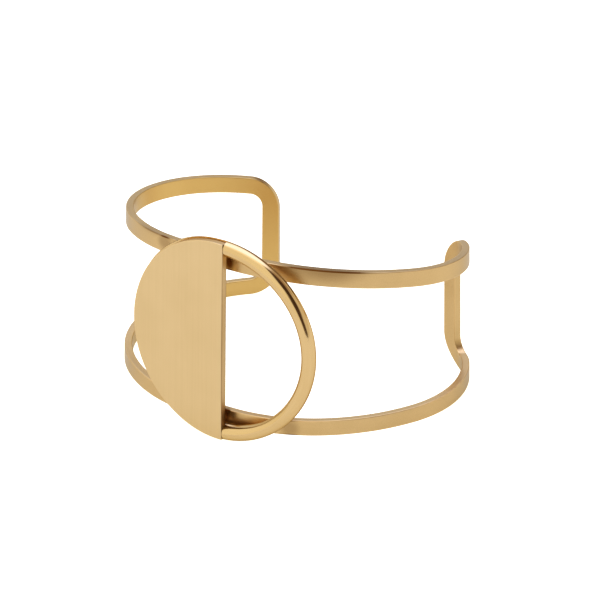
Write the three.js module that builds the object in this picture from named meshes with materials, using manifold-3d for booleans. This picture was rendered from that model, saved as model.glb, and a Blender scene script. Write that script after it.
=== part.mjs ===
// Cuff bracelet: an open frame of flat bar bent round the wrist, with a round medallion on its
// front. The medallion is a ring of round wire whose left half is filled by a half disc of plate.
// Millimetres, +Z up, the medallion facing -Y. The cuff rests on a level surface at z = 0.
import * as THREE from 'three';
import { ParametricGeometry } from 'three/addons/geometries/ParametricGeometry.js';
import { mergeVertices } from 'three/addons/utils/BufferGeometryUtils.js';
import Module from 'manifold-3d';

const wasm = await Module();
wasm.setup();

// Driving dimensions of the medallion
const medallionRadius = 19;
const wireThickness = 2.65;
const medallionBend = 118; // radius that the ring is bent to, so that it follows the wrist a little
const plateInset = 0.25; // how far the plate's arc lies inside the outer edge of the wire
const plateRadius = medallionRadius - plateInset;
const plateThickness = 1.3;
const edgeAside = 1.13; // from the medallion's centre to the plate's straight edge
const medallionRise = 0.57; // the medallion's centre above the middle of the frame

// Driving dimensions of the frame, as cut flat before it is bent
const frontHeight = 32.8;
const upperRailWidth = 3.07;
const lowerRailWidth = 2.85;
const endBarWidth = 3.23;
const barThickness = 1.4;
const cornerRadius = 5.4; // outer corners at the open ends
const windowRadiusLeast = 0.2;
const taperEase = 0.8; // 0 narrows ever faster towards an end, 1 levels out there

// Each arm is bent from the plate's straight edge on: a share of its length turns by an angle in
// degrees. Its lean is how far its upper edge would lean inwards at its end at full front height.
const leftArm = {
  side: -1,
  length: 74.2,
  endHeight: 22.1,
  lean: 0.59,
  bends: [
    { share: 0.113, turn: 0 },
    { share: 0.256, turn: 38.8 },
    { share: 0.264, turn: 52.3 },
    { share: 0.367, turn: 67.4 },
  ],
};
const rightArm = {
  side: 1,
  length: 62.3,
  endHeight: 23.7,
  lean: 0.38,
  bends: [
    { share: 0.548, turn: 60.3 },
    { share: 0.311, turn: 62.7 },
    { share: 0.141, turn: 51.6 },
  ],
};

// Clearances of the soldered joints
const seatGap = 0.15; // behind the plate
const railGap = 0.4; // from the back of the unbent wire to the rails
const edgeSlot = 0.2; // between the plate's straight edge and the cut ends of the wire

// Lengths and turns below these count as none when the cuff is set down
const near = 1e-3;
const mostRolls = 12;

// Fineness of the curved pieces
const railStep = 1.6; // length of one flat of a bent rail
const cornerSteps = 6;
const endBarSteps = 6;
const wireSides = 16;
const ringSteps = 96;
const plateSteps = 56; // round the half circle

const brushedGold = { color: 0xdec28e, roughness: 0.38 };
const polishedGold = { color: 0xd8b678, roughness: 0.25 };
const satinGold = { color: 0xd2b076, roughness: 0.42 };

function material({ color, roughness }) {
  return new THREE.MeshStandardMaterial({ color, roughness, metalness: 1 });
}

// The plan of one arm: the outer face's place and heading at a distance along it
function planOf(arm) {
  const legs = [];
  let start = 0;
  let heading = 0;
  let x = 0;
  let y = 0;
  for (const { share, turn } of arm.bends) {
    const length = share * arm.length;
    const sweep = THREE.MathUtils.degToRad(turn);
    legs.push({ start, length, heading, sweep, x, y });
    [x, y] = along(legs.at(-1), length);
    start += length;
    heading += sweep;
  }
  return (distance) => {
    const leg = legs.findLast((one) => one.start <= distance) ?? legs[0];
    const run = distance - leg.start;
    const [px, py] = along(leg, run);
    return { x: arm.side * px, y: py, heading: leg.heading + (leg.sweep * run) / leg.length };
  };
}

// Where a leg of constant bend has come to after a run along it
function along(leg, run) {
  const turned = (leg.sweep * run) / leg.length;
  const middle = leg.heading + turned / 2;
  const chord = turned === 0 ? run : (run * Math.sin(turned / 2)) / (turned / 2);
  return [leg.x + chord * Math.cos(middle), leg.y + chord * Math.sin(middle)];
}

// Half the frame's height at a distance along an arm, narrowing towards the open end
function halfHeight(arm, distance) {
  const u = distance / arm.length;
  const ease = (1 + taperEase) * u ** 2 - taperEase * u ** 3;
  return (frontHeight + (arm.endHeight - frontHeight) * ease) / 2;
}

// How far inwards the arm leans at a distance along it and a height above its middle
function leanOf(arm, distance, height) {
  return arm.lean * (height / (frontHeight / 2)) * (distance / arm.length) ** 2;
}

// One half of the flat outline of one arm, with the rail's width, from the front to the middle of
// the end bar: pairs of a point on the frame's outside and one on the window's side
function armStations(arm, railWidth) {
  const windowRadius = Math.max(cornerRadius - (railWidth + endBarWidth) / 2, windowRadiusLeast);
  const outerRun = arm.length - cornerRadius;
  const windowEnd = arm.length - endBarWidth;
  const windowRun = windowEnd - windowRadius;
  const stations = [];
  const railSteps = Math.round(outerRun / railStep);
  for (let i = 0; i <= railSteps; i++) {
    const outer = (outerRun * i) / railSteps;
    const inner = (windowRun * i) / railSteps;
    stations.push([
      [outer, halfHeight(arm, outer)],
      [inner, halfHeight(arm, inner) - railWidth],
    ]);
  }
  for (let i = 1; i <= cornerSteps; i++) {
    const angle = (Math.PI / 2) * (i / cornerSteps);
    const outer = outerRun + cornerRadius * Math.sin(angle);
    const inner = windowRun + windowRadius * Math.sin(angle);
    stations.push([
      [outer, halfHeight(arm, outer) - cornerRadius * (1 - Math.cos(angle))],
      [inner, halfHeight(arm, inner) - railWidth - windowRadius * (1 - Math.cos(angle))],
    ]);
  }
  const [outerTop, windowTop] = stations.at(-1).map((point) => point[1]);
  for (let i = 1; i <= endBarSteps / 2; i++) {
    const left = 1 - i / (endBarSteps / 2);
    stations.push([
      [arm.length, outerTop * left],
      [windowEnd, windowTop * left],
    ]);
  }
  return stations;
}

// The whole loop of stations, each point as { arm, distance, height }
function frameStations() {
  const half = (arm, railWidth, sign) =>
    armStations(arm, railWidth).map((station) =>
      station.map(([distance, height]) => ({ arm, distance, height: sign * height })),
    );
  return [
    ...half(rightArm, upperRailWidth, 1),
    ...half(rightArm, lowerRailWidth, -1).slice(0, -1).reverse(),
    ...half(leftArm, lowerRailWidth, -1).slice(1),
    ...half(leftArm, upperRailWidth, 1).slice(0, -1).reverse(),
  ];
}

// The bar of the frame: a flat rectangular section carried round the loop and bent to the plan
function cuffFrame() {
  const plans = new Map([leftArm, rightArm].map((arm) => [arm, planOf(arm)]));
  const stations = frameStations();
  const steps = stations.length - 1;
  // section corners in order: outside back, window back, window front, outside front
  const corners = [
    { point: 0, depth: barThickness },
    { point: 1, depth: barThickness },
    { point: 1, depth: 0 },
    { point: 0, depth: 0 },
  ];
  const surface = (u, v, target) => {
    const station = stations[Math.round(u * steps)];
    const corner = corners[Math.round(v * corners.length) % corners.length];
    const { arm, distance, height } = station[corner.point];
    const { x, y, heading } = plans.get(arm)(distance);
    const inwards = corner.depth + leanOf(arm, distance, height);
    target.set(
      x - arm.side * Math.sin(heading) * inwards,
      y + Math.cos(heading) * inwards + railGap,
      height - medallionRise,
    );
  };
  const geometry = new ParametricGeometry(surface, steps, corners.length);
  return new THREE.Mesh(geometry, material(satinGold));
}

// A closed geometry as a solid, with its shared vertices merged
function solidOf(geometry) {
  const bare = geometry.clone().toNonIndexed();
  bare.deleteAttribute('normal');
  bare.deleteAttribute('uv');
  const merged = mergeVertices(bare);
  return new wasm.Manifold(
    new wasm.Mesh({
      numProp: 3,
      vertProperties: merged.attributes.position.array,
      triVerts: new Uint32Array(merged.index.array),
    }),
  );
}

function geometryOf(solid) {
  const { vertProperties, triVerts } = solid.getMesh();
  const geometry = new THREE.BufferGeometry();
  geometry.setAttribute('position', new THREE.BufferAttribute(vertProperties, 3));
  geometry.setIndex(new THREE.BufferAttribute(triVerts, 1));
  geometry.computeVertexNormals();
  return geometry;
}

// Bends a geometry round an upright axis behind the origin
function bend(geometry, radius) {
  const position = geometry.attributes.position;
  for (let i = 0; i < position.count; i++) {
    const angle = position.getX(i) / radius;
    const out = radius - position.getY(i);
    position.setXYZ(i, out * Math.sin(angle), radius - out * Math.cos(angle), position.getZ(i));
  }
}

// Turns a geometry whose front right edge lies on the z axis back with the left half of the ring,
// and moves that edge level with the front of the wire
function seatBeside(geometry) {
  geometry.rotateZ(-Math.atan((medallionRadius - edgeAside) / (2 * medallionBend)));
  geometry.translate(0, -wireThickness, 0);
}

// The ring of round wire, bent a little, its left half cut down in front to seat the plate
function ring() {
  const wireRadius = wireThickness / 2;
  const wire = new THREE.TorusGeometry(medallionRadius - wireRadius, wireRadius, wireSides, ringSteps);
  wire.rotateX(Math.PI / 2);
  wire.translate(0, -wireRadius, 0);
  bend(wire, medallionBend);
  wire.translate(-edgeAside, 0, 0);
  const reach = medallionRadius + edgeAside + wireThickness;
  const seatDepth = plateThickness + seatGap;
  const seat = new THREE.BoxGeometry(reach + edgeSlot, wireThickness + seatDepth, 2 * reach);
  seat.translate((edgeSlot - reach) / 2, (seatDepth - wireThickness) / 2, 0);
  seatBeside(seat);
  return new THREE.Mesh(geometryOf(solidOf(wire).subtract(solidOf(seat))), material(polishedGold));
}

// The half disc of flat plate, its straight edge upright and level with the front of the wire
function halfDisc() {
  const start = Math.acos(edgeAside / plateRadius);
  const outline = new THREE.Shape();
  outline.absarc(-edgeAside, 0, plateRadius, start, 2 * Math.PI - start, false);
  outline.closePath();
  const plate = new THREE.ExtrudeGeometry(outline, {
    depth: plateThickness,
    curveSegments: plateSteps,
    bevelEnabled: false,
  });
  plate.rotateX(Math.PI / 2);
  plate.translate(0, plateThickness, 0);
  seatBeside(plate);
  return new THREE.Mesh(plate, material(brushedGold));
}

function named(name, mesh) {
  mesh.name = name;
  return mesh;
}

// Every corner of the pieces, and their common centre of mass
function massAndCorners(meshes) {
  const corners = [];
  const centre = new THREE.Vector3();
  let volume = 0;
  for (const { geometry } of meshes) {
    const faces = geometry.index ? geometry.toNonIndexed() : geometry;
    const position = faces.attributes.position;
    for (let i = 0; i < position.count; i += 3) {
      const [a, b, c] = [0, 1, 2].map((k) => new THREE.Vector3().fromBufferAttribute(position, i + k));
      const piece = a.dot(b.clone().cross(c)) / 6;
      volume += piece;
      centre.addScaledVector(a.clone().add(b).add(c), piece / 4);
      corners.push(a, b, c);
    }
  }
  return { corners, centre: centre.divideScalar(volume) };
}

// The turn that lets the pieces settle on a level surface: they roll over the corners that touch
// it, always towards the centre of mass, until that lies between three of them.
function restingTurn(meshes) {
  const { corners, centre } = massAndCorners(meshes);
  const turn = new THREE.Quaternion();
  const roll = (pivot, axis) => {
    const down = new THREE.Vector3(axis.y, -axis.x, 0);
    let least = Math.PI;
    for (const corner of corners) {
      const reach = corner.clone().sub(pivot);
      const ahead = reach.dot(down);
      if (ahead > near) least = Math.min(least, Math.atan2(reach.z, ahead));
    }
    const step = new THREE.Quaternion().setFromAxisAngle(axis, least);
    for (const point of [...corners, centre]) point.applyQuaternion(step);
    turn.premultiply(step);
  };
  const touching = () => {
    const low = Math.min(...corners.map((corner) => corner.z));
    return corners.filter((corner) => corner.z < low + near);
  };
  // first over the lowest corner, then over the edge of the touching corners nearest the centre
  for (let i = 0; i < mostRolls; i++) {
    const edge = openEdge(touching(), centre);
    if (!edge) break;
    roll(edge.pivot, edge.axis);
  }
  return turn;
}

// Of the corners that touch the surface, the pivot and axis that the centre of mass lies beyond;
// nothing if it lies between them
function openEdge(feet, centre) {
  const flat = (point) => new THREE.Vector2(point.x, point.y);
  const middle = flat(centre);
  const spread = feet.filter((foot) => flat(foot).distanceTo(flat(feet[0])) > near);
  if (spread.length === 0) {
    const away = middle.clone().sub(flat(feet[0])).normalize();
    return { pivot: feet[0], axis: new THREE.Vector3(-away.y, away.x, 0) };
  }
  for (const from of feet) {
    for (const to of feet) {
      const side = flat(to).sub(flat(from));
      if (side.length() <= near) continue;
      side.normalize();
      const beyond = (point) => side.cross(flat(point).sub(flat(from)));
      if (beyond(centre) < -near && feet.every((foot) => beyond(foot) > -near)) {
        return { pivot: from, axis: new THREE.Vector3(side.x, side.y, 0) };
      }
    }
  }
  return null;
}

const pieces = [
  named('cuff_frame', cuffFrame()),
  named('ring', ring()),
  named('half_disc', halfDisc()),
];

const bracelet = new THREE.Group();
bracelet.name = 'cuff_bracelet';
bracelet.add(...pieces);
bracelet.quaternion.copy(restingTurn(pieces));
bracelet.updateMatrixWorld(true);
const size = new THREE.Box3().setFromObject(bracelet, true);
bracelet.position.set(-(size.min.x + size.max.x) / 2, -(size.min.y + size.max.y) / 2, -size.min.z);

export default bracelet;
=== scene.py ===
# %% [markdown]
# # A cuff bracelet with a half disc in a ring
# The bracelet is one flat bar frame bent into an open C. On its front sits a medallion: a ring
# of round wire whose left half is filled by a half disc of brushed plate. This script dresses
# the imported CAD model, so it starts by loading that model. It keeps the CAD box, because the
# visual model has to stay inside it.

import bpy
import numpy as np
from mathutils import Matrix


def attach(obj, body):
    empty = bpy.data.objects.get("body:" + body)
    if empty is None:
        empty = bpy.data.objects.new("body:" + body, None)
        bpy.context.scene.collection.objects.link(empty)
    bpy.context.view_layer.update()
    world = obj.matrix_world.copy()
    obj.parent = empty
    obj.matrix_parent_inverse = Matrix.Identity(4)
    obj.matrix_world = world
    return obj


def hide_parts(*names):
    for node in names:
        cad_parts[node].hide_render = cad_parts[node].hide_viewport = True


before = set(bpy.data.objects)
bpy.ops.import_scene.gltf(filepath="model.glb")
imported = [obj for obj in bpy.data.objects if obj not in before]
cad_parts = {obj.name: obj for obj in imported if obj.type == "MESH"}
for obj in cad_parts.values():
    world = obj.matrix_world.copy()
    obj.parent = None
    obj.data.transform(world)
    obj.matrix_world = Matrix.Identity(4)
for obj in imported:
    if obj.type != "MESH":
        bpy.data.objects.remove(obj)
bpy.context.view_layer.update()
print("nodes:", sorted(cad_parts))

# %% [markdown]
# ## Where the medallion is
# Everything was drawn round the plate's straight edge: it stands on the z axis, x runs sideways
# along the medallion and y through it from front to back. On the table the bracelet leans back
# a little, so these axes are turned. They can be read off the plate itself. Its largest faces
# look forwards and its straight edge looks to the right, but the plate is turned back by a few
# degrees, as the medallion follows the wrist, so that turn is taken off again.

# %% Read the medallion's axes off the plate
MM = 0.001
WIRE = 2.65 * MM
PLATE = 1.3 * MM
MEDALLION_RADIUS = 19 * MM
MEDALLION_BEND = 118 * MM
EDGE_ASIDE = 1.13 * MM
PLATE_TURN = np.arctan((MEDALLION_RADIUS - EDGE_ASIDE) / (2 * MEDALLION_BEND))
SAME_SIDE = np.radians(1)  # faces whose normals are within this angle make up one flat side
SQUARE_TO = 0.01  # how near to 0 the product of two normals has to be


def faces_of(node):
    """The normal, area and centre of each face of a CAD node, as arrays."""
    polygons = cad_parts[node].data.polygons
    normal, area, centre = (np.empty(len(polygons) * n) for n in (3, 1, 3))
    polygons.foreach_get("normal", normal)
    polygons.foreach_get("area", area)
    polygons.foreach_get("center", centre)
    return normal.reshape(-1, 3), area, centre.reshape(-1, 3)


def facing(normal, area, direction):
    """The mean normal, weighted by area, of the faces that look in one direction."""
    same = normal @ direction > np.cos(SAME_SIDE)
    mean = (normal[same] * area[same, None]).sum(0)
    return mean / np.linalg.norm(mean), same


normal, area, centre = faces_of("half_disc")
largest = normal[np.argmax(area * (normal[:, 1] < 0))]
front, _ = facing(normal, area, largest)
across = np.abs(normal @ front) < SQUARE_TO
edge_direction = normal[np.argmax(area * across)]
side, on_edge = facing(normal, area, edge_direction)
edge_centre = (centre[on_edge] * area[on_edge, None]).sum(0) / area[on_edge].sum()
turn_cos, turn_sin = np.cos(PLATE_TURN), np.sin(PLATE_TURN)
axis_x = turn_cos * side - turn_sin * front
axis_y = -turn_sin * side - turn_cos * front
axes = np.stack([axis_x, axis_y, np.cross(axis_x, axis_y)], axis=1)
origin = edge_centre + front * PLATE / 2 + axis_y * WIRE
print("medallion axes as columns:\n", axes.round(4))
print("straight edge on the medallion's back plane:", origin.round(5))


def placed(points):
    """Points in the medallion's axes, turned and moved to where the bracelet rests."""
    return points @ axes.T + origin


# %% [markdown]
# ## The camera
# The photograph was taken from far away through a long lens, so parallel edges stay parallel.
# The camera stands 33 degrees round to the right and 23 degrees above the medallion's own
# level. Its place is given in the medallion's axes and then turned with the bracelet.

# %% Camera at the photograph's angle
VIEW_AZIMUTH, VIEW_ELEVATION, VIEW_ROLL = np.radians([33.380, 23.480, 0.646])
VIEW_DISTANCE = 1500 * MM
VIEW_ASIDE, VIEW_RAISED = 12.347 * MM, 6.725 * MM
IMAGE_WIDTH = 600
FOCAL_PIXELS = 8512.0
SENSOR = 36.0
CLIP_NEAR, CLIP_FAR = 0.05, 20


def view_axes(azimuth, elevation, roll):
    """Columns right, up and back of a camera that looks at the origin from those angles."""
    ca, sa, ce, se = np.cos(azimuth), np.sin(azimuth), np.cos(elevation), np.sin(elevation)
    back = np.array([sa * ce, -ca * ce, se])
    right = np.array([ca, sa, 0])
    up = np.cross(back, right)
    cr, sr = np.cos(roll), np.sin(roll)
    return np.stack([right * cr + up * sr, up * cr - right * sr, back], axis=1)


view = view_axes(VIEW_AZIMUTH, VIEW_ELEVATION, VIEW_ROLL)
stand = placed(view @ [VIEW_ASIDE, VIEW_RAISED, VIEW_DISTANCE])
turned = axes @ view
camera_data = bpy.data.cameras.new("camera")
camera_data.sensor_width = SENSOR
camera_data.lens = FOCAL_PIXELS * SENSOR / IMAGE_WIDTH
camera_data.clip_start, camera_data.clip_end = CLIP_NEAR, CLIP_FAR
camera = bpy.data.objects.new("camera", camera_data)
camera.matrix_world = Matrix(
    [[*turned[row], stand[row]] for row in range(3)] + [[0, 0, 0, 1]]
)
bpy.context.scene.collection.objects.link(camera)
bpy.context.scene.camera = camera
height_angle = np.degrees(np.arcsin(turned[2, 2]))
print("camera stands", stand.round(3), "and looks down by", height_angle.round(2), "degrees")

# %% [markdown]
# ## From a grid of points to a mesh
# Each new piece is a surface worked out on a grid: rows run along the piece and columns run
# round its section. One helper turns such a grid into a mesh. It also stores a UV map in
# millimetres, which the materials use to follow the metal, and a mask of the rounded edges,
# where the gold gets a painted highlight, and browns more with tarnish and painted shade.


# %% Mesh helper
SHARP_ANGLE = np.radians(40)


def grid_mesh(name, points, uv, edge, ends="closed"):
    """A mesh from points[row, column]. Columns always close on themselves. Rows close too
    when ends is "closed"; when it is "poles" the first and last rows are single points."""
    rows, columns = points.shape[:2]
    if ends == "poles":
        inner = points[1:-1].reshape(-1, 3)
        vertices = np.vstack([points[0, :1], inner, points[-1, :1]])
        mask = np.concatenate([edge[0, :1], edge[1:-1].ravel(), edge[-1, :1]])
        index = np.zeros((rows, columns), int)
        index[1:-1] = 1 + np.arange(len(inner)).reshape(rows - 2, columns)
        index[-1] = len(vertices) - 1
        spans = [(slice(1, -1), [0, 1, 2, 3]), (slice(0, 1), [0, 2, 3]),
                 (slice(-1, None), [0, 1, 2])]
    else:
        vertices, mask = points.reshape(-1, 3), edge.ravel()
        index = np.arange(rows * columns).reshape(rows, columns)
        index = np.vstack([index, index[:1]])
        spans = [(slice(None), [0, 1, 2, 3])]
    index = np.hstack([index, index[:, :1]])
    quads = np.stack([index[:-1, :-1], index[:-1, 1:], index[1:, 1:], index[1:, :-1]], axis=-1)
    corners = np.stack([uv[:-1, :-1], uv[:-1, 1:], uv[1:, 1:], uv[1:, :-1]], axis=2)
    loops, starts, totals, loop_uv = [], [], [], []
    at = 0
    for span, take in spans:
        faces = quads[span][..., take].reshape(-1, len(take))
        loops.append(faces.ravel())
        loop_uv.append(corners[span][:, :, take].reshape(-1, 2))
        starts.append(at + np.arange(len(faces)) * len(take))
        totals.append(np.full(len(faces), len(take)))
        at += faces.size
    mesh = bpy.data.meshes.new(name)
    mesh.vertices.add(len(vertices))
    mesh.vertices.foreach_set("co", placed(vertices).ravel())
    mesh.loops.add(at)
    mesh.loops.foreach_set("vertex_index", np.concatenate(loops))
    mesh.polygons.add(sum(map(len, starts)))
    mesh.polygons.foreach_set("loop_start", np.concatenate(starts))
    mesh.polygons.foreach_set("loop_total", np.concatenate(totals))
    mesh.update(calc_edges=True)
    layer = mesh.uv_layers.new(name="metal_mm")
    layer.uv.foreach_set("vector", np.concatenate(loop_uv).ravel())
    mesh.attributes.new("edge", "FLOAT", "POINT").data.foreach_set("value", mask)
    mesh.polygons.foreach_set("use_smooth", np.ones(len(mesh.polygons), bool))
    mesh.set_sharp_from_angle(angle=SHARP_ANGLE)
    mesh.validate()
    piece = bpy.data.objects.new(name, mesh)
    bpy.context.scene.collection.objects.link(piece)
    print(name, len(mesh.vertices), "vertices,", len(mesh.polygons), "faces")
    return piece


def distances(points):
    """How far along a row of points each one lies, in millimetres."""
    steps = np.linalg.norm(np.diff(points, axis=0), axis=-1)
    return np.concatenate([[0], np.cumsum(steps)]) / MM


# %% [markdown]
# ## The frame, drawn flat
# A maker cuts the frame from sheet as a long loop: two rails that draw closer towards the
# ends, and an end bar at each end with rounded corners. The loop is described by two lines,
# one along its outside and one along its window, and each pair of points across the bar is a
# station.

# %% The frame's flat outline
FRONT_HEIGHT = 32.8 * MM
UPPER_RAIL, LOWER_RAIL = 3.07 * MM, 2.85 * MM
END_BAR_WIDTH = 3.23 * MM
CORNER_RADIUS = 5.4 * MM
TAPER_EASE = 0.8  # 0 would narrow the frame along a parabola
RAIL_STEPS, CORNER_STEPS, END_STEPS = 240, 36, 40
# The bends are the arm's legs: the share of its length, and the degrees that the leg turns.
left_arm = {
    "side": -1, "length": 74.2 * MM, "end_height": 22.1 * MM, "lean": 0.59 * MM,
    "bends": [(0.113, 0), (0.256, 38.8), (0.264, 52.3), (0.367, 67.4)],
}
right_arm = {
    "side": 1, "length": 62.3 * MM, "end_height": 23.7 * MM, "lean": 0.38 * MM,
    "bends": [(0.548, 60.3), (0.311, 62.7), (0.141, 51.6)],
}


def half_height(arm, distance):
    """Half the frame's height along an arm: a cubic that falls slowly, then faster."""
    u = distance / arm["length"]
    ease = (1 + TAPER_EASE) * u**2 - TAPER_EASE * u**3
    return (FRONT_HEIGHT + (arm["end_height"] - FRONT_HEIGHT) * ease) / 2


def arm_line(arm, radius, run, end, width):
    """One line of an arm's upper half as (distance, height): along the rail, a quarter circle
    round the corner, and down the end bar to the middle. width is how far in it lies."""
    share = np.arange(RAIL_STEPS) / RAIL_STEPS
    rail = run * share
    turn = np.pi / 2 * np.arange(CORNER_STEPS) / CORNER_STEPS
    corner = run + radius * np.sin(turn)
    corner_height = half_height(arm, corner) - width - radius * (1 - np.cos(turn))
    top = half_height(arm, end) - width - radius
    down = top * (1 - np.arange(END_STEPS + 1) / END_STEPS)
    return np.stack([
        np.concatenate([rail, corner, np.full(END_STEPS + 1, end)]),
        np.concatenate([half_height(arm, rail) - width, corner_height, down]),
    ], axis=-1)


def arm_stations(arm, rail_width, side=1):
    """Both lines of one half of an arm, as [station, outside or window, (distance, height)].
    side is 1 for the upper half and -1 for the lower."""
    window_radius = CORNER_RADIUS - (rail_width + END_BAR_WIDTH) / 2
    outer_end = arm["length"]
    window_end = arm["length"] - END_BAR_WIDTH
    outside = arm_line(arm, CORNER_RADIUS, outer_end - CORNER_RADIUS, outer_end, 0)
    window = arm_line(arm, window_radius, window_end - window_radius, window_end, rail_width)
    return np.stack([outside, window], axis=1) * [1, side]


print("stations in half an arm:", len(arm_stations(left_arm, UPPER_RAIL)))

# %% [markdown]
# ## The frame, bent
# The flat loop is then bent round the wrist. Each arm is a chain of legs, each bent evenly,
# so that the plan is made of arcs. The section is a flat bar whose four corners are rounded
# as tumbling leaves them, and it is carried along the stations. Inside the left arm gold
# lights gold, and that light is painted into the colour: the bar gets a mask of painted
# reflection on its inner face, full there and faint on the right.

# %% How the frame bends
RAIL_GAP = 0.4 * MM  # from the back of the unbent wire to the rails
BAR = 1.4 * MM
MEDALLION_RISE = 0.57 * MM  # of the medallion's middle above the rails' middle


def bent(arm, distance):
    """Plan x, y and heading at distances along an arm. In a leg of even bend the chord from
    its start has length run * sin(h) / h and heads midway, where h is half the angle turned."""
    x = y = heading = start = 0.0
    plan = np.zeros(distance.shape + (3,))
    for share, degrees in arm["bends"]:
        length, sweep = share * arm["length"], np.radians(degrees)
        run = np.maximum(distance - start, 0)
        turned = sweep * np.minimum(run, length) / length
        chord = np.minimum(run, length) * np.sinc(turned / 2 / np.pi)
        here = distance >= start
        plan[here] = np.stack([
            x + chord * np.cos(heading + turned / 2),
            y + chord * np.sin(heading + turned / 2),
            heading + turned,
        ], axis=-1)[here]
        whole = length * np.sinc(sweep / 2 / np.pi)
        x += whole * np.cos(heading + sweep / 2)
        y += whole * np.sin(heading + sweep / 2)
        heading += sweep
        start += length
    return plan


print("the left arm ends at", bent(left_arm, np.array([left_arm["length"]]))[0].round(4))

# %% The bar's section
BAR_ROUNDING = 0.14 * MM
SUPPORT = 0.15 * MM  # how far the look of a rounded edge reaches over the flat beside it
ROUNDING_STEPS = 5


def bar_section():
    """The section's points: how far in they lie, whether from the outside line (0) or from
    the window line (1), how deep they lie, and whether they are on a rounded corner. A corner
    is a quarter circle with one more point on the flat at either end."""
    turn = np.linspace(0, np.pi / 2, ROUNDING_STEPS + 1)
    flat = BAR_ROUNDING + SUPPORT
    inset = np.concatenate([[flat], BAR_ROUNDING * (1 - np.sin(turn)), [0]])
    depth = np.concatenate([[0], BAR_ROUNDING * (1 - np.cos(turn)), [flat]])
    rounded = np.concatenate([[0], np.ones_like(turn), [0]])
    return (
        np.concatenate([inset, inset[::-1], inset, inset[::-1]]),
        np.repeat([0, 0, 1, 1], len(inset)),
        np.concatenate([depth, BAR - depth[::-1], BAR - depth, depth[::-1]]),
        np.tile(rounded, 4),
    )


print("points round the bar:", len(bar_section()[0]))

# %% Carry the section round the frame
LEFT_PAINTED_REFLECTION, RIGHT_PAINTED_REFLECTION = 1.0, 0.1  # how strong the painted reflection of gold on gold is inside each arm
PAINTED_REFLECTION_FADE = 0.4  # share of the left arm over which the painted reflection grows
PAINTED_REFLECTION_POWER = 4  # keeps the painted reflection off the bar's narrow faces


def painted_reflection_mask(loop, depth):
    """How much painted reflection of gold on gold each point wears: a smooth step u²(3 - 2u)
    along the left arm, times the share of the bar's depth to a power."""
    into_left = np.concatenate([
        (arm is left_arm) * stations[:, 0, 0] / (PAINTED_REFLECTION_FADE * arm["length"])
        for arm, stations in loop
    ]).clip(0, 1)
    step = into_left**2 * (3 - 2 * into_left)
    painted_reflection = RIGHT_PAINTED_REFLECTION + (LEFT_PAINTED_REFLECTION - RIGHT_PAINTED_REFLECTION) * step
    return painted_reflection[:, None] * (depth / BAR) ** PAINTED_REFLECTION_POWER


def frame_bar():
    """The whole loop: right arm above and below, left arm below and above. A point of the
    section is the outside point plus its share of the way across, set in by its depth."""
    loop = [
        (right_arm, arm_stations(right_arm, UPPER_RAIL)),
        (right_arm, arm_stations(right_arm, LOWER_RAIL, -1)[-2::-1]),
        (left_arm, arm_stations(left_arm, LOWER_RAIL, -1)[1:]),
        (left_arm, arm_stations(left_arm, UPPER_RAIL)[-2:0:-1]),
    ]
    inset, window, depth, mask = bar_section()
    parts = []
    for arm, stations in loop:
        outside, inside = stations[:, None, 0], stations[:, None, 1]
        width = np.linalg.norm(inside - outside, axis=-1, keepdims=True)
        share = inset[None, :, None] / width
        share = np.where(window[None, :, None] > 0, 1 - share, share)
        flat = outside + (inside - outside) * share
        distance, height = flat[..., 0], flat[..., 1]
        plan = bent(arm, distance)
        lean = arm["lean"] * height / (FRONT_HEIGHT / 2) * (distance / arm["length"]) ** 2
        inwards = depth + lean
        parts.append(np.stack([
            arm["side"] * (plan[..., 0] - np.sin(plan[..., 2]) * inwards),
            plan[..., 1] + np.cos(plan[..., 2]) * inwards + RAIL_GAP,
            height - MEDALLION_RISE,
        ], axis=-1))
    points = np.concatenate(parts)[:, ::-1]
    along = distances(np.vstack([points[:, 0], points[:1, 0]]))
    round_it = distances(np.vstack([points[0], points[0, :1]]))
    uv = np.stack(np.meshgrid(along, round_it, indexing="ij"), axis=-1)
    edge = np.broadcast_to(mask[::-1], points.shape[:2])
    made = grid_mesh("frame_bar", points, uv, edge)
    # Painted reflection of gold on gold inside the cuff, stored as the inside attribute.
    painted_reflection = painted_reflection_mask(loop, depth[::-1])
    layer = made.data.attributes.new("inside", "FLOAT", "POINT")
    layer.data.foreach_set("value", painted_reflection.ravel())
    return made


bar = frame_bar()
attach(bar, "root")
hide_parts("cuff_frame")

# %% [markdown]
# ## The ring
# The ring is round wire, bent a little so that it follows the wrist. Its right half is whole.
# Its left half is filed down in front, so that the plate sits in it with its face level with
# the wire, and the cut ends of the wire stand just clear of the plate's straight edge. Where
# the ring is soldered to the rails, the solder fills the corner between them, so the wire is
# a little thicker there on its inner side.

# %% The ring of wire
SEAT_GAP = 0.15 * MM  # behind the plate
EDGE_SLOT = 0.07 * MM  # from the plate's straight edge to the wire's cut ends
SOLDER, SOLDER_LENGTH = 0.35 * MM, 9.0 * MM
SOLDER_SIDE = np.radians(150)  # on the wire's inner side, turned a little to the back
SOLDER_POWER = 3  # keeps the solder to that side
RING_STEPS = 240
WIRE_SIDES = 64


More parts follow.
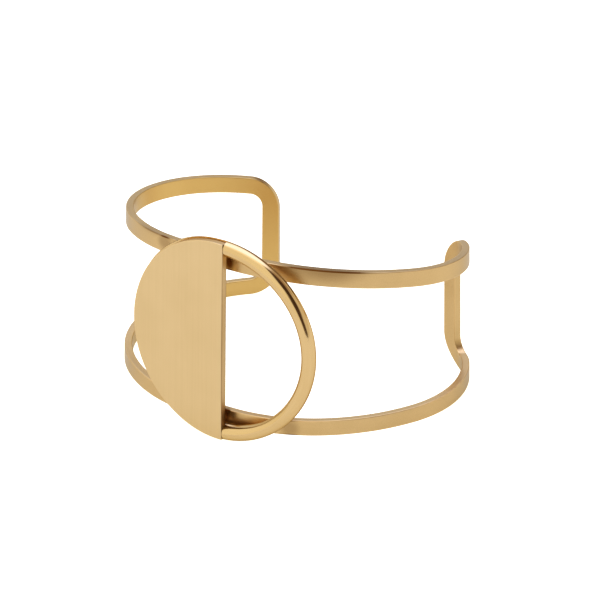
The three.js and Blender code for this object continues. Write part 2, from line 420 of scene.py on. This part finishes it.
def ring_wire():
    """A torus. For a point of the section at radius r from the centre, the cut is where
    x equals the slot, at the angle arccos((slot + aside) / r). The solder takes off r a bump
    that falls as 1 - (x / length)² beside the joints. A point at (x, y) then moves to
    ((b - y) sin(x / b), b - (b - y) cos(x / b)), which bends the ring to radius b. In front of
    the seat the left half is pressed flat on it, which gives the cut ends their faces."""
    around = 2 * np.pi * np.arange(WIRE_SIDES) / WIRE_SIDES
    reach = MEDALLION_RADIUS - WIRE / 2 + WIRE / 2 * np.cos(around)
    depth = -WIRE / 2 + WIRE / 2 * np.sin(around)
    cut = np.arccos((EDGE_SLOT + EDGE_ASIDE) / reach)
    right = np.linspace(-1, 1, RING_STEPS + 1)[:, None] * cut
    left = cut + np.linspace(0, 1, RING_STEPS + 1)[:, None] * (2 * np.pi - 2 * cut)
    angle = np.vstack([right, left])
    off_joint = reach * np.cos(angle) / SOLDER_LENGTH
    inner_back = np.clip(np.cos(around - SOLDER_SIDE), 0, 1) ** SOLDER_POWER
    reach = reach - SOLDER * inner_back * np.clip(1 - off_joint**2, 0, 1)
    bend = reach * np.cos(angle) / MEDALLION_BEND
    x = (MEDALLION_BEND - depth) * np.sin(bend) - EDGE_ASIDE
    y = MEDALLION_BEND - (MEDALLION_BEND - depth) * np.cos(bend)
    seat = (PLATE + SEAT_GAP) / np.cos(PLATE_TURN) - WIRE - x * np.tan(PLATE_TURN)
    on_left = np.arange(len(angle))[:, None] >= len(right)
    y = np.where(on_left, np.maximum(y, seat), y)
    points = np.stack([x, y, reach * np.sin(angle)], axis=-1)
    along = MEDALLION_RADIUS / MM * np.append(angle[:, 0], angle[0, 0] + 2 * np.pi)
    round_it = WIRE / 2 / MM * np.append(around, 2 * np.pi)
    uv = np.stack(np.meshgrid(along, round_it, indexing="ij"), axis=-1)
    return grid_mesh("ring_wire", points, uv, np.zeros(points.shape[:2]))


ring = ring_wire()
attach(ring, "root")
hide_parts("ring")

# %% [markdown]
# ## The half disc
# The plate is a little more than half a circle, with crisp edges that are only just broken.
# Its outline, set in by any amount, is again an arc and a straight line, so the rounding is
# made from outlines set in by less and less. The flat faces run from the outline to a point
# in the middle.

# %% The half disc of plate
PLATE_RADIUS = 18.75 * MM
PLATE_ROUNDING = 0.12 * MM
ARC_STEPS, STRAIGHT_STEPS = 260, 120
FACE_SHARES = np.linspace(0, 1, 12)
MIDDLE_ASIDE = 0.42 * PLATE_RADIUS  # from the straight edge to where the flat faces meet


def outline(inset):
    """The plate's outline set in by inset: the arc of radius R - inset, whose centre lies
    aside of the straight edge, from where it meets x = -inset, then the line back."""
    radius = PLATE_RADIUS - inset
    begin = np.arccos((EDGE_ASIDE - inset) / radius)
    angle = np.linspace(begin, 2 * np.pi - begin, ARC_STEPS, endpoint=False)
    top = radius * np.sin(begin)
    rise = np.linspace(-top, top, STRAIGHT_STEPS, endpoint=False)
    x = np.concatenate([radius * np.cos(angle) - EDGE_ASIDE, np.full(STRAIGHT_STEPS, -inset)])
    z = np.concatenate([radius * np.sin(angle), rise])
    return np.stack([x, z], axis=-1)


def half_disc_plate():
    """Rows of outlines from the middle of the back, over the rounded edge, to the middle of
    the front, turned back about the front of the straight edge."""
    middle = np.array([-MIDDLE_ASIDE, 0])
    turn = np.linspace(0, np.pi / 2, ROUNDING_STEPS + 1)
    face = outline(PLATE_ROUNDING + SUPPORT)
    rows = [(middle + share * (face - middle), PLATE, 0) for share in FACE_SHARES]
    for angle in turn:
        inset = PLATE_ROUNDING * (1 - np.sin(angle))
        rows.append((outline(inset), PLATE - PLATE_ROUNDING * (1 - np.cos(angle)), 1))
    rows.append((outline(0), PLATE - PLATE_ROUNDING - SUPPORT, 0))
    rows.append((outline(0), PLATE_ROUNDING + SUPPORT, 0))
    for angle in turn[::-1]:
        inset = PLATE_ROUNDING * (1 - np.sin(angle))
        rows.append((outline(inset), PLATE_ROUNDING * (1 - np.cos(angle)), 1))
    rows += [(middle + share * (face - middle), 0, 0) for share in FACE_SHARES[::-1]]
    points = np.stack([
        np.stack([
            flat[:, 0] * turn_cos + depth * turn_sin,
            depth * turn_cos - flat[:, 0] * turn_sin - WIRE,
            flat[:, 1],
        ], axis=-1)
        for flat, depth, _ in rows
    ])
    edge = np.stack([np.full(points.shape[1], mask, float) for _, _, mask in rows])
    uv = points[..., [0, 2]] / MM
    uv = np.concatenate([uv, uv[:, :1]], axis=1)
    return grid_mesh("half_disc_plate", points, uv, edge, ends="poles")


plate = half_disc_plate()
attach(plate, "root")
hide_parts("half_disc")

# %% [markdown]
# ## Grain, shared by all three finishes
# Satin gold is covered in a grain too fine to see one by one. Brushing is the same grain
# pulled out along one direction. So one node group makes both: noise on the piece's own UV
# map, in millimetres, with one scale along and one across.

# %% Node helper
def node(tree, kind, at, **inputs):
    """A node of one kind, placed on the sheet, with its inputs set by name or number."""
    made = tree.nodes.new(kind)
    made.location = at
    for key, value in inputs.items():
        name = int(key[1:]) if key[1:].isdigit() else key.replace("_", " ")
        made.inputs[name].default_value = value
    return made


print("nodes are placed by node(tree, kind, at, name=value)")

# %% The grain group
GRAIN_DETAIL, GRAIN_ROUGHNESS = 3.0, 0.65
SHADE_DETAIL = 2.0


def grain_group():
    """Grain: Along and Across set its scale per millimetre, and Patch size that of a slower
    mottling. Shade is that mottling and Fine is the grain itself, both from 0 to 1."""
    tree = bpy.data.node_groups.new("metal_grain", "ShaderNodeTree")
    for name in ("Along", "Across", "Patch size"):
        tree.interface.new_socket(name, in_out="INPUT", socket_type="NodeSocketFloat")
    for name in ("Shade", "Fine"):
        tree.interface.new_socket(name, in_out="OUTPUT", socket_type="NodeSocketFloat")
    links = tree.links
    start = node(tree, "NodeGroupInput", (-800, 0))
    end = node(tree, "NodeGroupOutput", (600, 0))
    uv = node(tree, "ShaderNodeUVMap", (-800, 250))
    uv.uv_map = "metal_mm"
    scale = node(tree, "ShaderNodeCombineXYZ", (-600, 0))
    links.new(start.outputs["Along"], scale.inputs["X"])
    links.new(start.outputs["Across"], scale.inputs["Y"])
    stretch = node(tree, "ShaderNodeVectorMath", (-400, 100))
    stretch.operation = "MULTIPLY"
    links.new(uv.outputs["UV"], stretch.inputs[0])
    links.new(scale.outputs["Vector"], stretch.inputs[1])
    fine = node(tree, "ShaderNodeTexNoise", (-150, 150), Scale=1.0, Detail=GRAIN_DETAIL,
                Roughness=GRAIN_ROUGHNESS)
    links.new(stretch.outputs["Vector"], fine.inputs["Vector"])
    place = node(tree, "ShaderNodeTexCoord", (-600, -300))
    patch = node(tree, "ShaderNodeTexNoise", (-150, -200), Detail=SHADE_DETAIL)
    per_metre = node(tree, "ShaderNodeMath", (-400, -200), _1=1 / MM)
    per_metre.operation = "MULTIPLY"
    links.new(start.outputs["Patch size"], per_metre.inputs[0])
    links.new(per_metre.outputs["Value"], patch.inputs["Scale"])
    links.new(place.outputs["Object"], patch.inputs["Vector"])
    links.new(fine.outputs["Fac"], end.inputs["Fine"])
    links.new(patch.outputs["Fac"], end.inputs["Shade"])
    return tree


grain = grain_group()
print("grain group:", [item.name for item in grain.interface.items_tree])

# %% [markdown]
# ## Tarnish and painted shade, shared by all three finishes
# The plating has browned round the two joints, where the heat was, and painted shade darkens
# the joints and soft patches on the rails beside the ring and the plate. Each patch is an
# ellipsoid in the medallion's axes. The mask is strong in its middle and fades to nothing at
# its surface.

# %% The tarnish and painted shade group
PATCHES = [
    # centre x, y, z in mm, half sizes in mm, strength
    ((16.8, 5.6, 16.3), (12.5, 8.0, 4.6), 0.55),  # painted shade on the front of the right upper rail, beside the ring
    ((-18.0, 3.0, 15.9), (9.0, 7.0, 1.8), 0.20),  # top edge of the left upper rail
    ((-14.8, 1.2, 14.4), (2.6, 2.0, 2.2), 0.40),  # painted shade on the left upper rail, beside the plate
    ((11.2, 2.4, -15.4), (2.6, 2.2, 2.3), 0.38),  # painted shade on the right lower rail, beside the ring
    ((-0.5, 0.4, 14.2), (1.3, 1.4, 2.0), 1.0),  # upper joint: heat tarnish, with painted shade between the parts
    ((-1.0, 0.2, -15.2), (1.5, 2.0, 2.2), 0.9),  # lower joint: heat tarnish, with painted shade between the parts
    ((1.5, -0.2, -15.9), (5.0, 1.8, 1.1), 0.5),  # solder along the lower rail
    ((0.35, -1.6, -14.6), (0.55, 1.4, 3.4), 0.9),  # painted shade at the foot of the plate's straight edge
    ((0.1, -1.9, 0.0), (0.35, 3.0, 30.0), 0.2),  # the whole straight edge
]
PATCH_CORE = 0.25  # share of the way out at which a patch begins to fade


def tarnish_and_shade_group():
    """Mask: the strongest patch at each place, from 0 to 1."""
    tree = bpy.data.node_groups.new("tarnish_and_shade", "ShaderNodeTree")
    tree.interface.new_socket("Mask", in_out="OUTPUT", socket_type="NodeSocketFloat")
    links = tree.links
    place = node(tree, "ShaderNodeTexCoord", (-900, 0))
    strongest = None
    for number, (middle, half_sizes, strength) in enumerate(PATCHES):
        row = -220 * number
        local = node(tree, "ShaderNodeMapping", (-700, row))
        local.vector_type = "TEXTURE"
        local.inputs["Location"].default_value = placed(np.array(middle) * MM)
        local.inputs["Rotation"].default_value = Matrix(axes.tolist()).to_euler()
        local.inputs["Scale"].default_value = np.array(half_sizes) * MM
        links.new(place.outputs["Object"], local.inputs["Vector"])
        out = node(tree, "ShaderNodeVectorMath", (-500, row))
        out.operation = "LENGTH"
        links.new(local.outputs["Vector"], out.inputs[0])
        fade = node(tree, "ShaderNodeMapRange", (-300, row))
        fade.interpolation_type = "SMOOTHSTEP"
        fade.inputs["From Min"].default_value = 1.0
        fade.inputs["From Max"].default_value = PATCH_CORE
        fade.inputs["To Max"].default_value = strength
        links.new(out.outputs["Value"], fade.inputs["Value"])
        mask = fade.outputs["Result"]
        if strongest is not None:
            larger = node(tree, "ShaderNodeMath", (-100, row))
            larger.operation = "MAXIMUM"
            links.new(strongest, larger.inputs[0])
            links.new(mask, larger.inputs[1])
            mask = larger.outputs["Value"]
        strongest = mask
    links.new(strongest, node(tree, "NodeGroupOutput", (100, 0)).inputs["Mask"])
    return tree


tarnish_and_shade = tarnish_and_shade_group()
print("tarnish patches:", len(PATCHES))

# %% [markdown]
# ## Three finishes of one gold
# All three pieces have the same gold plate. The frame is satin, the wire is polished a little
# more, and the plate is brushed upright. Each finish is a metal whose colour, roughness and
# bump all come from the grain. Its rounded edges get a painted highlight, a touch brighter,
# and brown more than the flats in the patches of tarnish and painted shade.

# %% The gold's colour
TONE_SHARE = 0.5  # of the slow mottling in the colour, against the grain
RAMP_LOW, RAMP_HIGH = 0.3, 0.7  # tones at which the colour is wholly deep or light
PATCH_SIZE = 0.12  # scale of the mottling per millimetre
EDGE_HIGHLIGHT, EDGE_HIGHLIGHT_SHARE = 1.15, 0.25  # how bright the painted highlight on rounded edges is, and how much it shows
TARNISH_AND_SHADE = (0.22, 0.12, 0.05)  # what the gold is multiplied by at full strength, for tarnish and painted shade alike
EDGE_TARNISH_AND_SHADE = 2.5  # how much more the rounded edges brown, with tarnish and painted shade
PAINTED_REFLECTION_GOLD = (0.71, 0.46, 0.145)  # painted reflection: the deeper gold that gold lighting gold inside the cuff gives


def blended(tree, at, factor, first, second):
    """A colour that goes from the colour of one output to a fixed one, by a factor."""
    made = node(tree, "ShaderNodeMix", at)
    made.data_type = "RGBA"
    made.inputs["B"].default_value = (*second, 1)
    tree.links.new(factor, made.inputs["Factor"])
    tree.links.new(first, made.inputs["A"])
    return made


def gold_colour(tree, texture, light, deep):
    """From deep to light with the grain, with a painted highlight on rounded edges and painted
    reflection inside the left arm, multiplied by brown for tarnish and painted shade."""
    tone = node(tree, "ShaderNodeMix", (-600, 250))
    tone.data_type = "FLOAT"
    tone.inputs["Factor"].default_value = TONE_SHARE
    tree.links.new(texture.outputs["Fine"], tone.inputs["A"])
    tree.links.new(texture.outputs["Shade"], tone.inputs["B"])
    colour = node(tree, "ShaderNodeValToRGB", (-400, 250))
    first, last = colour.color_ramp.elements
    first.position, last.position = RAMP_LOW, RAMP_HIGH
    first.color, last.color = (*deep, 1), (*light, 1)
    tree.links.new(tone.outputs["Result"], colour.inputs["Fac"])
    # Mask of the rounded edges: a painted highlight on them, and more browning in the patches.
    rounded_edges = node(tree, "ShaderNodeAttribute", (-600, 500))
    rounded_edges.attribute_name = "edge"
    glow = node(tree, "ShaderNodeMath", (-400, 500), _1=EDGE_HIGHLIGHT_SHARE)
    glow.operation = "MULTIPLY"
    tree.links.new(rounded_edges.outputs["Fac"], glow.inputs[0])
    bright = np.minimum(np.array(light) * EDGE_HIGHLIGHT, 1)
    painted_edge_highlight = blended(tree, (-150, 300), glow.outputs["Value"], colour.outputs["Color"], bright)
    # Painted reflection of gold on gold inside the left arm, read from the inside attribute.
    inner = node(tree, "ShaderNodeAttribute", (-600, 1000))
    inner.attribute_name = "inside"
    painted_reflection_colour = blended(tree, (-50, 600), inner.outputs["Fac"], painted_edge_highlight.outputs["Result"],
                     PAINTED_REFLECTION_GOLD)
    brown = node(tree, "ShaderNodeGroup", (-600, 750))
    brown.node_tree = tarnish_and_shade
    more = node(tree, "ShaderNodeMath", (-400, 750), _1=EDGE_TARNISH_AND_SHADE, _2=1.0)
    more.operation = "MULTIPLY_ADD"
    tree.links.new(rounded_edges.outputs["Fac"], more.inputs[0])
    amount = node(tree, "ShaderNodeMath", (-200, 750))
    amount.operation = "MULTIPLY"
    amount.use_clamp = True
    tree.links.new(brown.outputs["Mask"], amount.inputs[0])
    tree.links.new(more.outputs["Value"], amount.inputs[1])
    # Multiply in brown: tarnish round the joints, painted shade beside the ring and the plate.
    browned_colour = blended(tree, (50, 400), amount.outputs["Value"], painted_reflection_colour.outputs["Result"],
                      TARNISH_AND_SHADE)
    browned_colour.blend_type = "MULTIPLY"
    return browned_colour.outputs["Result"]


# The same brown gives tarnish and painted shade.
print("tarnished gold is multiplied by", TARNISH_AND_SHADE)

# %% The gold material
SATIN_GRAZING = (0.74, 0.76, 0.76)  # how the satin reflects where it is seen almost edge on
SMOOTH_GRAZING = (0.64, 0.50, 0.35)  # how the ring and the plate do


def gold(name, light, deep, grazing, rough, spread, along, across, relief):
    """Metal whose colour goes from deep to light, whose roughness lies round rough by spread
    and whose grain stands up by relief."""
    material = bpy.data.materials.new(name)
    material.use_nodes = True
    tree = material.node_tree
    shader = tree.nodes["Principled BSDF"]
    shader.inputs["Metallic"].default_value = 1.0
    shader.inputs["Specular Tint"].default_value = (*grazing, 1)
    texture = node(tree, "ShaderNodeGroup", (-900, 0))
    texture.node_tree = grain
    texture.inputs["Along"].default_value = along
    texture.inputs["Across"].default_value = across
    texture.inputs["Patch size"].default_value = PATCH_SIZE
    tree.links.new(gold_colour(tree, texture, light, deep), shader.inputs["Base Color"])
    roughness = node(tree, "ShaderNodeMapRange", (-400, -50))
    roughness.inputs["To Min"].default_value = rough - spread
    roughness.inputs["To Max"].default_value = rough + spread
    tree.links.new(texture.outputs["Fine"], roughness.inputs["Value"])
    tree.links.new(roughness.outputs["Result"], shader.inputs["Roughness"])
    bump = node(tree, "ShaderNodeBump", (-150, -200), Strength=1.0, Distance=relief)
    tree.links.new(texture.outputs["Fine"], bump.inputs["Height"])
    tree.links.new(bump.outputs["Normal"], shader.inputs["Normal"])
    return material


satin = gold(
    "satin_gold", light=(0.71, 0.485, 0.212), deep=(0.575, 0.38, 0.156),
    grazing=SATIN_GRAZING, rough=0.30, spread=0.06, along=4.5, across=4.5, relief=0.018 * MM)
polished = gold(
    "polished_gold", light=(0.75, 0.525, 0.24), deep=(0.69, 0.47, 0.20),
    grazing=SMOOTH_GRAZING, rough=0.11, spread=0.03, along=0.12, across=2.2, relief=0.006 * MM)
brushed = gold(
    "brushed_gold", light=(0.76, 0.55, 0.275), deep=(0.70, 0.50, 0.24),
    grazing=SMOOTH_GRAZING, rough=0.34, spread=0.05, along=2.4, across=0.03, relief=0.005 * MM)
for piece, finish in ((bar, satin), (ring, polished), (plate, brushed)):
    piece.data.materials.append(finish)
    print(piece.name, "wears", finish.name)

# %% [markdown]
# ## Floor and light
# The bracelet stands on a plain white table in a soft studio. What a metal shows is its
# surroundings, so the room matters more than any lamp. The wire of the ring works as a mirror
# of that room. It shows a bright table, a large soft light high on the left, a brighter one
# high behind, and a narrow dark shape in front on the right, where the photographer stands.

# %% Table
FLOOR_HALF = 3.0
TABLE_IN_METAL, TABLE_SEEN = 0.50, 1.25  # its own light, as the gold and as the camera meet it
TABLE_TINT = (1, 0.98, 0.82)  # of that light
TABLE_GREY, TABLE_ROUGHNESS = 0.5, 0.9
floor_mesh = bpy.data.meshes.new("floor")
floor_mesh.from_pydata(
    [(-FLOOR_HALF, -FLOOR_HALF, 0), (FLOOR_HALF, -FLOOR_HALF, 0),
     (FLOOR_HALF, FLOOR_HALF, 0), (-FLOOR_HALF, FLOOR_HALF, 0)], [], [(0, 1, 2, 3)])
floor = bpy.data.objects.new("floor", floor_mesh)
bpy.context.scene.collection.objects.link(floor)
paper = bpy.data.materials.new("white_table")
paper.use_nodes = True
paper_tree = paper.node_tree
paper_shader = paper_tree.nodes["Principled BSDF"]
paper_shader.inputs["Base Color"].default_value = (TABLE_GREY, TABLE_GREY, TABLE_GREY, 1)
paper_shader.inputs["Roughness"].default_value = TABLE_ROUGHNESS
paper_shader.inputs["Specular IOR Level"].default_value = 0.0
paper_shader.inputs["Emission Color"].default_value = (*TABLE_TINT, 1)
paper_path = node(paper_tree, "ShaderNodeLightPath", (-500, -300))
paper_light = node(paper_tree, "ShaderNodeMix", (-250, -300))
paper_light.data_type = "FLOAT"
paper_light.inputs["A"].default_value = TABLE_IN_METAL
paper_light.inputs["B"].default_value = TABLE_SEEN
paper_tree.links.new(paper_path.outputs["Is Camera Ray"], paper_light.inputs["Factor"])
paper_tree.links.new(paper_light.outputs["Result"], paper_shader.inputs["Emission Strength"])
floor_mesh.materials.append(paper)
print("table", 2 * FLOOR_HALF, "metres wide")

# %% The room
ROOM = (0.80, 0.77, 0.70)  # the walls, seen in the gold
LIGHTS = [
    # azimuth from the front, height angle, half width in degrees, softness, colour
    (-20, 50, 60, 0.40, (1.10, 1.08, 1.00)),  # large soft light, high on the left
    (155, 12, 62, 0.30, (0.84, 0.77, 0.67)),  # wall behind on the right
    (-150, 26, 36, 0.35, (0.75, 0.77, 0.86)),  # wall behind on the left
    (-170, 8, 14, 0.50, (0.20, 0.12, 0.07)),  # dark gap low behind
    (132, 46, 16, 0.45, (0.46, 0.34, 0.25)),  # brown corner on the right
    (175, 27, 14, 0.45, (0.28, 0.20, 0.14)),  # brown gap behind
    (-90, 82, 24, 0.50, (1.45, 1.45, 1.50)),  # ceiling
    (-150, 66, 30, 0.25, (1.8, 1.95, 3.0)),  # bright cool light, high behind
    (88, 54, 17, 0.30, (0.13, 0.075, 0.045)),  # top of the dark shape
    (70, 38, 21, 0.30, (0.07, 0.04, 0.024)),  # middle of the dark shape
    (53, 13, 19, 0.35, (0.09, 0.05, 0.03)),  # foot of the dark shape
]
SEEN_WHITE = 1.0
world = bpy.data.worlds.new("room")
bpy.context.scene.world = world
world.use_nodes = True
room = world.node_tree
place = node(room, "ShaderNodeTexCoord", (-1400, 0))
colour = None
for number, (azimuth, height, half_width, softness, tint) in enumerate(LIGHTS):
    a, e = np.radians(azimuth), np.radians(height)
    towards = (np.sin(a) * np.cos(e), -np.cos(a) * np.cos(e), np.sin(e))
    dot = node(room, "ShaderNodeVectorMath", (-1100, -300 * number), _1=towards)
    dot.operation = "DOT_PRODUCT"
    room.links.new(place.outputs["Generated"], dot.inputs[0])
    fade = np.cos(np.radians(half_width * np.array([1 + softness, 1 - softness])))
    within = node(room, "ShaderNodeMapRange", (-900, -300 * number))
    within.interpolation_type = "SMOOTHSTEP"
    within.inputs["From Min"].default_value, within.inputs["From Max"].default_value = fade
    room.links.new(dot.outputs["Value"], within.inputs["Value"])
    blend = node(room, "ShaderNodeMix", (-700 + 200 * number, -300 * number))
    blend.data_type = "RGBA"
    blend.inputs["A"].default_value = (*ROOM, 1)
    blend.inputs["B"].default_value = (*tint, 1)
    room.links.new(within.outputs["Result"], blend.inputs["Factor"])
    if colour is not None:
        room.links.new(colour, blend.inputs["A"])
    colour = blend.outputs["Result"]
background = room.nodes["Background"]
room.links.new(colour, background.inputs["Color"])
seen = node(room, "ShaderNodeBackground", (600, -200), Strength=SEEN_WHITE)
seen.inputs["Color"].default_value = (1, 1, 1, 1)
path = node(room, "ShaderNodeLightPath", (600, 300))
choose = node(room, "ShaderNodeMixShader", (900, 0))
room.links.new(path.outputs["Is Camera Ray"], choose.inputs["Fac"])
room.links.new(background.outputs["Background"], choose.inputs[1])
room.links.new(seen.outputs["Background"], choose.inputs[2])
room.links.new(choose.outputs["Shader"], room.nodes["World Output"].inputs["Surface"])
bpy.context.scene.view_settings.view_transform = "Standard"
print(len(LIGHTS), "soft lights in the room")
